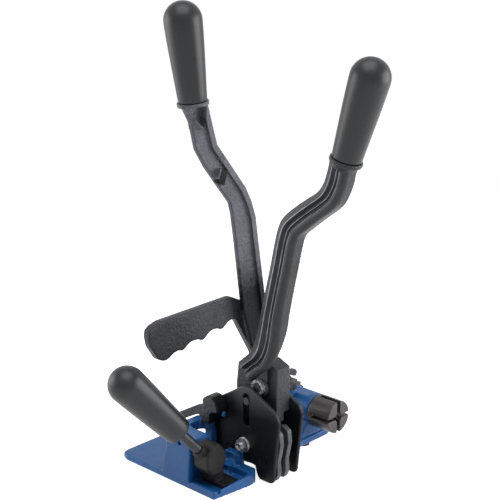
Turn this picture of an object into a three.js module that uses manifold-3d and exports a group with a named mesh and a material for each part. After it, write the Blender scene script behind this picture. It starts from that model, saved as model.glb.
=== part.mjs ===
// Hand strapping tool: a lever and ratchet turn a slotted windlass to pull the strap tight,
// and a second lever closes two pairs of jaws on the seal.
// Millimetres, +Z up, +Y along the strap towards the windlass, +X towards the open side.
// The origin is on the underside of the base, in the middle of its footprint.
import * as THREE from 'three';
import { mergeVertices } from 'three/addons/utils/BufferGeometryUtils.js';
import Module from 'manifold-3d';

const wasm = await Module();
wasm.setup();

// Driving sizes
const clearance = 0.3;          // between pieces that touch or run on each other
const overrun = 2;              // how far a cutter passes the face that it opens
const sink = 2;                 // how far a form sinks into the one that it is joined to
const headX = 45.8;             // middle plane of the sealing head
const headFrontY = -36;         // outer face of the near side plate
const headDepth = 34;           // over both side plates
const plateThickness = 4;
const baseWidth = 125;
const baseFrontDepth = 56;      // front plate, from under the head to its near edge
const basePlateHeight = 5;
const windlassY = 62;           // axis of the windlass
const windlassZ = 31.4;
const windlassRadius = 15.6;
const windlassLength = 25.5;    // slotted part outside the barrel
const shaftRadius = 8;
const barrelRadius = 15.5;
const barrelStartX = 12.5;
const barrelLength = 33;
const ratchetWidth = 8;
const leverX = -0.5;            // middle of the tension lever's web
const leverWeb = 5;
const sealHingeX = 54;          // hinge of the sealing lever
const sealHingeZ = 84;
const gripDiameter = 32;
const gripLength = 83;
const gripEndDiameter = 24.6;
const gripBore = 10.6;
const gripBoreDepth = 56;

// Small steps of round surfaces
const roundSegments = 12;          // per half turn
const gripSegments = 24;
const tangSegments = 12;
const smallRoundSegments = 7;
const cornerSegments = 2;
const cornerShare = 0.48;
const leastReach = 0.15;
const bendShare = 0.45;

// Edges broken by casting, punching or turning
const castEdge = 0.6;
const softEdge = 0.8;
const plateEdge = 0.5;
const handleEdge = 0.9;
const leverEdge = 0.7;
const beamEdge = 1.5;

const blue = () => new THREE.MeshStandardMaterial({ color: 0x3c68ad, roughness: 0.45, metalness: 0.1 });
const black = () => new THREE.MeshStandardMaterial({ color: 0x26272a, roughness: 0.4, metalness: 0.5 });
const castGrey = () => new THREE.MeshStandardMaterial({ color: 0x4a4c52, roughness: 0.55, metalness: 0.5 });
const plastic = () => new THREE.MeshStandardMaterial({ color: 0x3c3d40, roughness: 0.5, metalness: 0 });
const steel = () => new THREE.MeshStandardMaterial({ color: 0x8a8a8c, roughness: 0.35, metalness: 0.9 });
const zinc = () => new THREE.MeshStandardMaterial({ color: 0xc9ccd0, roughness: 0.25, metalness: 1 });
const rubber = () => new THREE.MeshStandardMaterial({ color: 0x1b1b1c, roughness: 0.8, metalness: 0 });

const tool = new THREE.Group();

// Solids from three.js geometry, and back
function toSolid(geometry) {
  const bare = geometry.clone();
  bare.deleteAttribute('normal');
  bare.deleteAttribute('uv');
  const merged = mergeVertices(bare, 1e-4);
  const vertProperties = Float32Array.from(merged.attributes.position.array);
  const triVerts = Uint32Array.from(merged.index.array);
  return new wasm.Manifold(new wasm.Mesh({ numProp: 3, vertProperties, triVerts }));
}

function toGeometry(solid) {
  const { vertProperties, triVerts } = solid.getMesh();
  const geometry = new THREE.BufferGeometry();
  geometry.setAttribute('position', new THREE.BufferAttribute(Float32Array.from(vertProperties), 3));
  geometry.setIndex(new THREE.BufferAttribute(Uint32Array.from(triVerts), 1));
  geometry.computeVertexNormals();
  return geometry;
}

function join(...solids) {
  return solids.reduce((whole, piece) => whole.add(piece));
}

function cut(solid, ...cutters) {
  return cutters.reduce((whole, cutter) => whole.subtract(cutter), solid);
}

function addPiece(name, solid, material) {
  const mesh = new THREE.Mesh(toGeometry(solid), material);
  mesh.name = name;
  tool.add(mesh);
}

// Outline through [u, v] or [u, v, corner radius], each corner rounded by its radius
function roundedShape(points) {
  const shape = new THREE.Shape();
  const count = points.length;
  points.forEach((point, index) => {
    const here = new THREE.Vector2(point[0], point[1]);
    const before = new THREE.Vector2(...points[(index + count - 1) % count].slice(0, 2));
    const after = new THREE.Vector2(...points[(index + 1) % count].slice(0, 2));
    const radius = point[2] ?? 0;
    const toBefore = before.clone().sub(here);
    const toAfter = after.clone().sub(here);
    const halfAngle = Math.abs(toBefore.angleTo(toAfter)) / 2;
    const wanted = radius > 0
      ? Math.min(radius / Math.tan(halfAngle), toBefore.length() * cornerShare,
        toAfter.length() * cornerShare)
      : 0;
    const reach = wanted > leastReach ? wanted : 0;
    const start = here.clone().add(toBefore.setLength(reach));
    const end = here.clone().add(toAfter.setLength(reach));
    if (index === 0) shape.moveTo(start.x, start.y);
    else shape.lineTo(start.x, start.y);
    if (reach > 0) shape.quadraticCurveTo(here.x, here.y, end.x, end.y);
  });
  shape.closePath();
  return shape;
}

function discShape(u, v, radius) {
  const shape = new THREE.Shape();
  shape.absarc(u, v, radius, 0, Math.PI * 2);
  return shape;
}

// Prism of an outline between two places along an axis.
// The outline is (y, z) for axis x, (x, z) for axis y and (x, y) for axis z.
const axisFrames = {
  x: new THREE.Matrix4().makeBasis(
    new THREE.Vector3(0, 1, 0), new THREE.Vector3(0, 0, 1), new THREE.Vector3(1, 0, 0)),
  y: new THREE.Matrix4().makeBasis(
    new THREE.Vector3(1, 0, 0), new THREE.Vector3(0, 0, 1), new THREE.Vector3(0, -1, 0)),
  z: new THREE.Matrix4(),
};

function prism(axis, shape, from, to, bevel = 0, segments = cornerSegments) {
  const depth = to - from;
  const geometry = new THREE.ExtrudeGeometry(shape, {
    depth: depth - 2 * bevel,
    curveSegments: segments,
    bevelEnabled: bevel > 0,
    bevelThickness: bevel,
    bevelSize: bevel,
    bevelOffset: -bevel,
    bevelSegments: 1,
  });
  geometry.translate(0, 0, bevel);
  geometry.applyMatrix4(axisFrames[axis]);
  if (axis === 'x') geometry.translate(from, 0, 0);
  if (axis === 'y') geometry.translate(0, to, 0);
  if (axis === 'z') geometry.translate(0, 0, from);
  return toSolid(geometry);
}

function rod(axis, u, v, radius, from, to, segments = smallRoundSegments) {
  return prism(axis, discShape(u, v, radius), from, to, 0, segments);
}

function box(x0, x1, y0, y1, z0, z1) {
  return prism('z', roundedShape([[x0, y0], [x1, y0], [x1, y1], [x0, y1]]), z0, z1);
}

// Solid of revolution of [radius, height] points, from its foot towards a direction
function turned(profile, foot, direction, segments = gripSegments) {
  const geometry = new THREE.LatheGeometry(profile.map(([r, h]) => new THREE.Vector2(r, h)), segments);
  geometry.applyQuaternion(new THREE.Quaternion().setFromUnitVectors(
    new THREE.Vector3(0, 1, 0), direction.clone().normalize()));
  geometry.translate(foot.x, foot.y, foot.z);
  return toSolid(geometry);
}

// Flat bar along a line of [u, v, half width, bend radius], each bend rounded
function barShape(line) {
  const path = [];
  const widths = [];
  line.forEach(([u, v, half, bend], index) => {
    const here = new THREE.Vector2(u, v);
    if (index === 0 || index === line.length - 1 || !bend) {
      path.push(here);
      widths.push(half);
      return;
    }
    const toBefore = new THREE.Vector2(...line[index - 1].slice(0, 2)).sub(here);
    const toAfter = new THREE.Vector2(...line[index + 1].slice(0, 2)).sub(here);
    const reach = Math.min(bend, toBefore.length() * bendShare, toAfter.length() * bendShare);
    const start = here.clone().add(toBefore.setLength(reach));
    const end = here.clone().add(toAfter.setLength(reach));
    const curve = new THREE.QuadraticBezierCurve(start, here, end);
    curve.getPoints(cornerSegments + 2).forEach((point) => {
      path.push(point);
      widths.push(half);
    });
  });
  const sides = [[], []];
  path.forEach((point, index) => {
    const before = path[Math.max(index - 1, 0)];
    const after = path[Math.min(index + 1, path.length - 1)];
    const along = after.clone().sub(before).normalize();
    const normal = new THREE.Vector2(-along.y, along.x);
    sides[0].push(point.clone().addScaledVector(normal, widths[index]));
    sides[1].push(point.clone().addScaledVector(normal, -widths[index]));
  });
  return new THREE.Shape([...sides[0], ...sides[1].reverse()]);
}

// Plastic grip
// A tapered moulding with a round end, pushed over a lever's round tang.
const gripBallRadius = gripDiameter / 2;
const gripEndRadius = gripEndDiameter / 2;
const gripRim = 1.2;
const tangRadius = gripBore / 2 - clearance;
const tangEndGap = 2;
const tangLength = gripBoreDepth - tangEndGap;
const domeSteps = 5;

function makeGrip(name, foot, direction) {
  const ballHeight = gripLength - gripBallRadius;
  const boreRadius = gripBore / 2;
  const profile = [
    [0, gripBoreDepth], [boreRadius, gripBoreDepth], [boreRadius, 0],
    [gripEndRadius - gripRim, 0], [gripEndRadius, gripRim], [gripBallRadius, ballHeight],
  ];
  for (let step = 1; step < domeSteps; step += 1) {
    const angle = (step / domeSteps) * Math.PI / 2;
    profile.push([gripBallRadius * Math.cos(angle), ballHeight + gripBallRadius * Math.sin(angle)]);
  }
  profile.push([0, gripLength]);
  addPiece(name, turned(profile, foot, direction), plastic());
}

function tang(foot, direction) {
  return turned([[0, -sink], [tangRadius, -sink], [tangRadius, tangLength], [0, tangLength]],
    foot, direction, tangSegments);
}

// Outline from shares of a piece's own width and height about its own corner
function outline(shares, u0, v0, width, height) {
  return roundedShape(shares.map(([u, v, r]) => [u0 + u * width, v0 + v * height, (r ?? 0) * height]));
}

const headBackY = headFrontY + headDepth;
const innerFrontY = headFrontY + plateThickness + clearance;
const innerBackY = headBackY - plateThickness - clearance;
const baseRightX = baseWidth / 2;
const baseUnderHead = 3;
const baseFrontY = headFrontY + baseUnderHead - baseFrontDepth;
const boreOf = (radius) => radius + clearance;

// Base casting
// One painted casting: front plate with the strap tray, post and fork, a low spine under the
// head, and the rear foot that carries the windlass barrel.
const frontPlateShares = [
  [0, 0, 0.1455], [0.9675, 0, 0.0273], [1.0033, 0.7091], [0.9959, 0.8545, 0.0364], [0.9593, 0.94],
  [0.9593, 1], [0, 1, 0.0545],
];
const trayShares = [
  [0.7398, 0], [0.9675, 0, 0.0273], [1.0033, 0.7091], [0.9959, 0.8545, 0.0364], [0.9593, 0.94],
  [0.9593, 1], [0.7398, 1],
];
const underHeadRightX = 7.1;
const trayFrontHeight = 6.7;
const trayBackHeight = 11;
const trayWall = 4;
const trayFloor = 3;
const trayLeftX = 26.5;
const trayInnerLength = 39;
const postWidth = 37.6;
const postHeight = 42;
const postThickness = 7;
const postRightX = 29.5;
const postHoleRadius = 2;
const postShares = [
  [0, 0], [0.91, 0], [1, 1, 0.0476], [0.2447, 1, 0.0952],
];
const postHoleShare = [0.65, 0.93];
const forkThickness = 9.5;
const forkRise = 0.5;
const forkLength = 40;
const forkNose = 9;
const forkShares = [
  [0, 0], [1, 0, 0.063], [1, 0.451, 0.126], [0.4756, 0.451, 0.063], [0.2439, 0.501, 0.105],
  [0.2317, 0.7547, 0.105], [0.3049, 0.8386, 0.063], [0.5, 0.8386, 0.063], [0.5, 1, 0.063],
  [0, 1, 0.126],
];
const forkLeftX = -10.5;
const rearPostWidth = 18;
const rearPostDepth = 7;
const lugLeftX = 26.5;
const lugWidth = 17;
const lugHeight = 21;
const lugDepth = 6.7;
const lugRecessDepth = 2;
const lugRecessRise = 1;
const lugStepInset = 2;
const lugStepShare = [0.76, 0.56];
const lugRecessSpanShare = [0.1, 0.62];
const lugRecessHeightShares = [[0.14, 0.47], [0.57, 0.9]];
const cheekLeftX = 17;
const cheekWidth = 7.2;
const cheekHeight = 36;
const cheekDepth = 20;
const cheekBossLength = 5.3;
const cheekBossRadius = 8;
const gripperReach = 39;
const gripperY = headFrontY - gripperReach;   // hinge of the strap gripper
const gripperZ = 27;
const gripperPinRadius = 4;
const gripperPinFloor = 2;
const cheekShares = [
  [0, 0], [0.95, 0], [0.9, 0.7778, 0.1667], [0.7, 1, 0.1667], [0, 1, 0.0833],
];
const spineLeftX = -22.5;
const spineWidth = 28;
const spineHeight = 12;
const tongueLeftX = -8;
const tongueWidth = 12;
const tongueHeight = 48.5;
const tongueBoltX = -1.5;
const tongueBoltHeights = [20, 41];
const tongueBoltRadius = 3;
const rearFootStartY = 32;
const rearFootDepth = 52;
const rearFootLeftX = -24;
const rearFootWidth = 72.4;
const rearFootCorner = 10;
const rearFootBottom = 3;
const rearFootTop = 9;
const pedestalShares = [
  [0.08, 0], [0.96, 0], [0.96, 0.16, 0.1], [0.85, 0.75, 0.2], [0.8, 1], [0.35, 1],
  [0.32, 0.7, 0.2], [0.08, 0.16, 0.1],
];
const barrelFlatHeight = 14;
const barrelFlatShare = [0.2, 0.8];
const leftCheekThickness = 7.2;
const leftCheekShares = [
  [0, 0.06], [1, 0.06, 0.0357], [1, 0.5357, 0.2143], [0.7708, 0.9286, 0.25], [0.3542, 1, 0.2143],
  [0.0417, 0.7857, 0.2143],
];
const leftCheekDepth = 48;
const leftCheekHeight = 56;
const leftCheekStartY = 36;
const handleBoltRadius = 2.8;
const handleBoltHeadRadius = 4.5;
const handleBoltOffset = 12;
const pawlPinY = 48.5;          // pivot of the holding pawl
const pawlPinZ = 53.5;
const pawlPinRadius = 3;
const pawlLugStartX = 16;
const pawlLugLength = 7.5;
const pawlLugRadius = 6;

function baseCasting() {
  const plate = prism('z', outline(frontPlateShares, -baseRightX, baseFrontY, baseWidth, baseFrontDepth),
    0, basePlateHeight);
  const trayTop = prism('x', roundedShape([
    [baseFrontY - overrun, trayFrontHeight], [baseFrontY, trayFrontHeight],
    [baseFrontY + baseFrontDepth, trayBackHeight],
    [baseFrontY + baseFrontDepth, trayBackHeight + trayFrontHeight],
    [baseFrontY - overrun, trayBackHeight + trayFrontHeight]]), trayLeftX - overrun, baseRightX + overrun);
  const tray = cut(
    prism('z', outline(trayShares, -baseRightX, baseFrontY, baseWidth, baseFrontDepth),
      0, trayBackHeight + overrun),
    trayTop);
  const pocket = box(trayLeftX - clearance, baseRightX - trayWall, baseFrontY + trayWall,
    baseFrontY + trayWall + trayInnerLength, trayFloor, trayBackHeight + overrun);
  const postLeftX = postRightX - postWidth;
  const post = cut(
    prism('y', outline(postShares, postLeftX, 0, postWidth, postHeight),
      baseFrontY, baseFrontY + postThickness, castEdge),
    rod('y', postLeftX + postHoleShare[0] * postWidth, postHoleShare[1] * postHeight, postHoleRadius,
      baseFrontY - overrun, baseFrontY + postThickness + overrun));
  const plateFaceY = headFrontY - clearance;
  const forkTop = postHeight + forkRise;
  const forkLow = forkTop - forkThickness;
  const forkFrontY = baseFrontY + postThickness - sink;
  const fork = prism('z', outline(forkShares, forkLeftX, forkFrontY, forkLength, plateFaceY - forkFrontY),
    forkLow, forkTop, softEdge).intersect(
    prism('y', roundedShape([[forkLeftX, forkLow], [forkLeftX + forkLength, forkLow],
      [forkLeftX + forkLength, forkTop, forkNose], [forkLeftX, forkTop]]),
    forkFrontY, plateFaceY, 0, roundSegments));
  const rearPost = box(tongueLeftX + tongueWidth - sink, tongueLeftX + rearPostWidth,
    plateFaceY - rearPostDepth, plateFaceY, 0, forkLow + sink);
  const lugFrontY = plateFaceY - lugDepth;
  const recesses = lugRecessHeightShares.map(([low, high]) => box(
    lugLeftX + lugRecessSpanShare[0] * lugWidth, lugLeftX + lugRecessSpanShare[1] * lugWidth,
    lugFrontY - overrun, lugFrontY + lugRecessDepth, low * lugHeight, high * lugHeight));
  const stepFrontY = lugFrontY - lugDepth;
  const step = cut(
    box(lugLeftX + lugStepInset, lugLeftX + lugStepShare[0] * lugWidth, stepFrontY, lugFrontY + sink, 0,
      lugStepShare[1] * lugHeight),
    box(lugLeftX + 2 * lugStepInset, lugLeftX + lugRecessSpanShare[1] * lugWidth, stepFrontY - overrun,
      stepFrontY + lugRecessDepth, trayFloor + lugRecessRise, lugRecessHeightShares[0][1] * lugHeight));
  const lug = join(step,
    cut(box(lugLeftX, lugLeftX + lugWidth, lugFrontY, plateFaceY, 0, lugHeight), ...recesses));
  const cheek = prism('x', outline(cheekShares, gripperY - cheekBossRadius, 0, cheekDepth, cheekHeight),
    cheekLeftX, cheekLeftX + cheekWidth);
  const boss = rod('x', gripperY, gripperZ, cheekBossRadius, cheekLeftX,
    cheekLeftX + cheekWidth + cheekBossLength);
  const underHead = box(underHeadRightX, baseRightX + overrun,
    plateFaceY, headFrontY + baseUnderHead + overrun, -overrun, trayBackHeight + trayFrontHeight);
  const front = cut(
    join(cut(join(plate, tray), pocket, underHead), post, fork, rearPost, lug, cheek, boss),
    rod('x', gripperY, gripperZ, boreOf(gripperPinRadius), cheekLeftX + gripperPinFloor,
      cheekLeftX + cheekWidth + cheekBossLength + overrun));
  const spine = box(spineLeftX, spineLeftX + spineWidth, plateFaceY - rearPostDepth, rearFootStartY + sink,
    0, spineHeight);
  const tongue = cut(box(tongueLeftX, tongueLeftX + tongueWidth, innerFrontY, innerBackY, 0, tongueHeight),
    ...tongueBoltHeights.map((z) => rod('y', tongueBoltX, z, boreOf(tongueBoltRadius),
      innerFrontY - overrun, innerBackY + overrun)));
  return join(front, spine, tongue, rearCasting());
}

function rearCasting() {
  const foot = prism('z', roundedShape([
    [rearFootLeftX, rearFootStartY], [rearFootLeftX + rearFootWidth, rearFootStartY],
    [rearFootLeftX + rearFootWidth, rearFootStartY + rearFootDepth, rearFootCorner],
    [rearFootLeftX, rearFootStartY + rearFootDepth, rearFootCorner / 2]]),
  rearFootBottom, rearFootTop, castEdge);
  const barrelEndX = barrelStartX + barrelLength;
  const pedestal = prism('x', outline(pedestalShares, rearFootStartY, rearFootBottom, rearFootDepth,
    windlassZ - rearFootBottom), barrelStartX, barrelEndX, castEdge);
  const barrel = rod('x', windlassY, windlassZ, barrelRadius, barrelStartX, barrelEndX, roundSegments);
  const flat = box(barrelStartX + barrelFlatShare[0] * barrelLength,
    barrelStartX + barrelFlatShare[1] * barrelLength,
    windlassY - barrelRadius, windlassY + barrelRadius,
    windlassZ + barrelFlatHeight, windlassZ + barrelRadius + overrun);
  const lug = prism('x', roundedShape([
    [pawlPinY - pawlLugRadius, pawlPinZ, pawlLugRadius], [pawlPinY, pawlPinZ + pawlLugRadius, pawlLugRadius],
    [pawlPinY + pawlLugRadius, pawlPinZ, pawlLugRadius], [windlassY, windlassZ],
    [windlassY - barrelRadius + sink, windlassZ]]), pawlLugStartX, pawlLugStartX + pawlLugLength);
  const pawlBore = rod('x', pawlPinY, pawlPinZ, boreOf(pawlPinRadius), pawlLugStartX - overrun,
    pawlLugStartX + pawlLugLength + overrun);
  const cheek = prism('x', outline(leftCheekShares, leftCheekStartY, 0, leftCheekDepth, leftCheekHeight),
    rearFootLeftX, rearFootLeftX + leftCheekThickness, castEdge);
  const shaftBore = rod('x', windlassY, windlassZ, boreOf(shaftRadius),
    rearFootLeftX - overrun, barrelEndX + overrun);
  const bolts = [1, -1].map((side) => rod('x', windlassY - side * handleBoltOffset,
    windlassZ + side * handleBoltOffset, boreOf(handleBoltRadius), rearFootLeftX - overrun,
    rearFootLeftX + leftCheekThickness + overrun));
  return cut(join(foot, pedestal, cut(barrel, flat), lug, cheek), shaftBore, pawlBore, ...bolts);
}

addPiece('base_casting', baseCasting(), blue());

// Foot pads
const padRadius = 5.5;
const padInset = 7;
const padShare = 0.3;
[['foot_pad_right', 1], ['foot_pad_left', 0]].forEach(([name, side]) => {
  const x = rearFootLeftX + padInset + side * (rearFootWidth - 2 * padInset);
  addPiece(name, rod('z', x, rearFootStartY + padShare * rearFootDepth, padRadius,
    0, rearFootBottom - clearance), rubber());
});

// Side plates of the sealing head
const headPlateWidth = 93.4;
const headPlateHeight = 84.2;
const headPlateLeftX = -10;
const headPlateShares = [
  [0.0428, 0.1663, 0.0356], [0.2184, 0.1663, 0.0238], [0.2505, 0.1116, 0.0238],
  [0.257, 0.0143, 0.0475], [0.4358, 0.0143, 0.0475], [0.4657, 0.0808, 0.0356], [0.485, 0.1544, 0.0238],
  [0.7099, 0.1544, 0.0238], [0.7291, 0.0808, 0.0356], [0.7591, 0.0143, 0.0475],
  [0.9379, 0.0143, 0.0475], [0.9443, 0.1116, 0.0594], [1.0043, 0.7162, 0.0594],
  [0.9625, 0.8052, 0.0594], [0.6874, 0.9632, 0.095], [0.6306, 1, 0.0713], [0.5321, 0.9822, 0.0713],
  [0.1606, 0.7221, 0.0475], [0.0428, 0.6176, 0.0713],
];
const jawPinX = 20.4;           // each side of the middle of the head
const jawPinZ = 19.4;
const jawPinRadius = 4;
const studX = 44.5;
const studZ = 29.5;
const studRadius = 4;
const slotLow = 47;
const slotHigh = 77.5;
const slotWidth = 8;
const sealPinRadius = 4;

function sidePlate(y, near) {
  const plate = prism('y', outline(headPlateShares, headPlateLeftX, 0, headPlateWidth, headPlateHeight),
    y, y + plateThickness, plateEdge);
  const from = y - overrun;
  const to = y + plateThickness + overrun;
  const holes = [
    rod('y', headX - jawPinX, jawPinZ, boreOf(jawPinRadius), from, to),
    rod('y', headX + jawPinX, jawPinZ, boreOf(jawPinRadius), from, to),
    rod('y', studX, studZ, boreOf(studRadius), from, to),
    ...tongueBoltHeights.map((z) => rod('y', tongueBoltX, z, boreOf(tongueBoltRadius), from, to)),
  ];
  if (near) {
    const half = slotWidth / 2;
    holes.push(prism('y', roundedShape([[headX - half, slotLow, half], [headX + half, slotLow, half],
      [headX + half, slotHigh, half], [headX - half, slotHigh, half]]), from, to));
  }
  return cut(plate, ...holes);
}

addPiece('near_side_plate', sidePlate(headFrontY, true), black());
addPiece('far_side_plate', sidePlate(headBackY - plateThickness, false), black());

// Head block above the jaws, and the anvil that the seal is pressed against
const blockFrontY = -24;
const blockLeftX = 21.6;
const blockWidth = 49.3;
const blockTop = 107;
const blockLow = 61;
const blockTailLow = 53;
const blockTailDepth = 8;
const blockTailInset = 2;
const blockShares = [
  [0.0164, 0, 0.0415], [1, 0], [1, 0.889, 0.0207], [0.76, 1, 0.0207],
  [0.3047, 1, 0.0415], [0.06, 0.8, 0.0415], [0.0164, 0.3942],
];
const anvilHalf = 9;
const anvilLow = 13;
const anvilHigh = 17.5;
const tailLeftShare = 0.55;

function headBlock() {
  const block = prism('y', outline(blockShares, blockLeftX, blockLow, blockWidth, blockTop - blockLow),
    blockFrontY, innerBackY, softEdge);
  const tailFrontY = blockFrontY + blockTailInset;
  const tail = box(blockLeftX + tailLeftShare * blockWidth, blockLeftX + blockWidth,
    tailFrontY, tailFrontY + blockTailDepth, blockTailLow, blockLow + sink);
  return cut(join(block, tail),
    rod('y', sealHingeX, sealHingeZ, boreOf(sealPinRadius), blockFrontY - overrun, innerBackY + overrun));
}

addPiece('head_block', headBlock(), castGrey());
addPiece('anvil', box(headX - anvilHalf, headX + anvilHalf, innerFrontY, innerBackY,
  anvilLow, anvilHigh), black());

// Pins and fasteners of the head
const boltHeadRadius = 5.5;
const boltHeadHeight = 3.5;
const studReach = 9;
const studWasherRadius = 7;
const studWasherThickness = 1.6;
const studNutRadius = 6.2;
const studNutThickness = 3;
const sealNutRadius = 7.2;
const sealNutThickness = 3.4;
const hexSegments = 3;

addPiece('jaw_pin_left', rod('y', headX - jawPinX, jawPinZ, jawPinRadius, headFrontY, headBackY), black());
addPiece('jaw_pin_right', rod('y', headX + jawPinX, jawPinZ, jawPinRadius, headFrontY, headBackY), black());
addPiece('centre_stud', rod('y', studX, studZ, studRadius, headFrontY - studReach, headBackY), steel());

function ring(y, x, z, outer, inner, thickness) {
  return cut(rod('y', x, z, outer, y, y + thickness, roundSegments),
    rod('y', x, z, inner, y - overrun, y + thickness + overrun));
}

const studWasherY = headFrontY - clearance - studWasherThickness;
const studNutY = studWasherY - clearance - studNutThickness;
addPiece('stud_washer',
  ring(studWasherY, studX, studZ, studWasherRadius, boreOf(studRadius), studWasherThickness), zinc());
addPiece('stud_nut', ring(studNutY, studX, studZ, studNutRadius, boreOf(studRadius),
  studNutThickness), zinc());

tongueBoltHeights.forEach((z, index) => {
  const shank = rod('y', tongueBoltX, z, tongueBoltRadius,
    headFrontY, headBackY + boltHeadHeight + clearance);
  const head = rod('y', tongueBoltX, z, boltHeadRadius, headBackY + clearance,
    headBackY + clearance + boltHeadHeight, hexSegments);
  addPiece(`plate_bolt_${index + 1}`, join(shank, head), steel());
});

// Finger handle under the tension lever, bolted to the left cheek of the base
const handleX = rearFootLeftX + leftCheekThickness + clearance;
const handleThickness = 8;
const handleEyeRadius = 22;
const handleWidth = 184;
const handleHeight = 145;
const handleTipY = windlassY + handleEyeRadius - handleWidth;
const handleGripShares = [
  [0.6424, 0.9483, 0.0552], [0.5576, 1, 0.0552], [0.0821, 0.9862, 0.0828],
  [0.0011, 0.9586, 0.0552], [0.0168, 0.8483, 0.0552], [0.0658, 0.7517, 0.0552], [0.1147, 0.7207, 0.069],
  [0.1663, 0.7586, 0.0621], [0.1989, 0.7655, 0.0552], [0.2261, 0.7517, 0.0552],
  [0.275, 0.7931, 0.0621], [0.3293, 0.7931, 0.0552], [0.3598, 0.7703, 0.0552],
  [0.4109, 0.8207, 0.0621], [0.4598, 0.8207, 0.0552], [0.4924, 0.7986, 0.0552],
  [0.5359, 0.8414, 0.0552], [0.5848, 0.8503, 0.0552], [0.7207, 0.5614, 0.0828],
];
const handleRootShares = [
  [-0.977, 0.209, 0.273], [-0.909, -0.427, 0.364], [-0.545, -0.882, 0.364], [0, -1, 0.364],
  [0.545, -0.882, 0.364], [0.955, -0.336, 0.364], [0.955, 0.391, 0.364], [0.545, 0.936, 0.364],
  [-0.273, 1.664, 0.545], [-1, 2.936, 0.545],
];

function fingerHandle() {
  const grip = handleGripShares.map(([u, v, r]) =>
    [handleTipY + u * handleWidth, v * handleHeight, r * handleHeight]);
  const root = handleRootShares.map(([u, v, r]) => [windlassY + u * handleEyeRadius,
    windlassZ + v * handleEyeRadius, r * handleEyeRadius]);
  const blank = prism('x', roundedShape([...grip, ...root]), handleX, handleX + handleThickness, handleEdge);
  const from = handleX - overrun;
  const to = handleX + handleThickness + overrun;
  return cut(blank, rod('x', windlassY, windlassZ, boreOf(shaftRadius), from, to),
    ...[1, -1].map((side) => rod('x', windlassY - side * handleBoltOffset,
      windlassZ + side * handleBoltOffset, boreOf(handleBoltRadius), from, to)));
}

addPiece('finger_handle', fingerHandle(), castGrey());

[1, -1].forEach((side, index) => {
  const y = windlassY - side * handleBoltOffset;
  const z = windlassZ + side * handleBoltOffset;
  const headX0 = rearFootLeftX - clearance - boltHeadHeight;
  addPiece(`handle_bolt_${index + 1}`, join(
    rod('x', y, z, handleBoltRadius, headX0, handleX + handleThickness - clearance),
    rod('x', y, z, handleBoltHeadRadius, headX0, headX0 + boltHeadHeight, hexSegments)), steel());
});

// Windlass: shaft through the cheek, handle, lever, ratchet wheel and barrel, slotted head outside
const barrelEndX = barrelStartX + barrelLength;
const headStartX = barrelEndX + clearance;
const slotDepth = 22;
const strapSlot = 3.2;
const wideSlot = 4.4;
const slotRecessRadius = 4.6;
const slotRecessDepth = 5;
const shaftStubRadius = 6;
const stubReach = 2;
const shaftNutRadius = 11;
const shaftNutThickness = 6.5;
const ratchetRadius = 21;
const ratchetRoot = 18.6;
const ratchetTeeth = 18;
const toothLean = 0.15;
const ratchetStartX = barrelStartX - ratchetWidth - 2 * clearance;
const spacerRadius = 13;

function windlass() {
  const shaft = rod('x', windlassY, windlassZ, shaftRadius, rearFootLeftX, headStartX + sink, roundSegments);
  const stub = rod('x', windlassY, windlassZ, shaftStubRadius,
    rearFootLeftX - clearance - shaftNutThickness - stubReach, rearFootLeftX + sink);
  const endX = headStartX + windlassLength;
  const head = prism('x', discShape(windlassY, windlassZ, windlassRadius),
    headStartX, endX, softEdge, roundSegments);
  const wideHalf = wideSlot / 2;
  const half = strapSlot / 2;
  const reach = windlassRadius + overrun;
  const floorX = endX - slotDepth;
  const slots = [
    box(floorX, endX + overrun, windlassY - wideHalf, windlassY + wideHalf,
      windlassZ - reach, windlassZ + reach),
    box(floorX, endX + overrun, windlassY - reach, windlassY + reach,
      windlassZ - half, windlassZ + half),
    rod('x', windlassY, windlassZ, slotRecessRadius, endX - slotRecessDepth, endX + overrun),
  ];
  return join(shaft, stub, cut(head, ...slots));
}

function ratchetWheel() {
  const points = [];
  for (let tooth = 0; tooth < ratchetTeeth; tooth += 1) {
    const root = (tooth / ratchetTeeth) * Math.PI * 2;
    const tip = ((tooth + toothLean) / ratchetTeeth) * Math.PI * 2;
    points.push([windlassY + ratchetRoot * Math.cos(root), windlassZ + ratchetRoot * Math.sin(root)]);
    points.push([windlassY + ratchetRadius * Math.cos(tip), windlassZ + ratchetRadius * Math.sin(tip)]);
  }
  return cut(prism('x', roundedShape(points), ratchetStartX, ratchetStartX + ratchetWidth),
    rod('x', windlassY, windlassZ, boreOf(shaftRadius), ratchetStartX - overrun,
      ratchetStartX + ratchetWidth + overrun, roundSegments));
}

addPiece('windlass', windlass(), steel());
addPiece('ratchet_wheel', ratchetWheel(), steel());
const shaftNutX = rearFootLeftX - clearance - shaftNutThickness;
addPiece('shaft_nut', cut(
  rod('x', windlassY, windlassZ, shaftNutRadius, shaftNutX, shaftNutX + shaftNutThickness, hexSegments),
  rod('x', windlassY, windlassZ, boreOf(shaftStubRadius),
    shaftNutX - overrun, rearFootLeftX + overrun)), zinc());

const spacerX = handleX + handleThickness + clearance;
const leverWebX = leverX - leverWeb / 2;
addPiece('lever_spacer', cut(
  rod('x', windlassY, windlassZ, spacerRadius, spacerX, leverWebX - clearance, roundSegments),
  rod('x', windlassY, windlassZ, boreOf(shaftRadius), spacerX - overrun, leverWebX + overrun)), steel());

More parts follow.
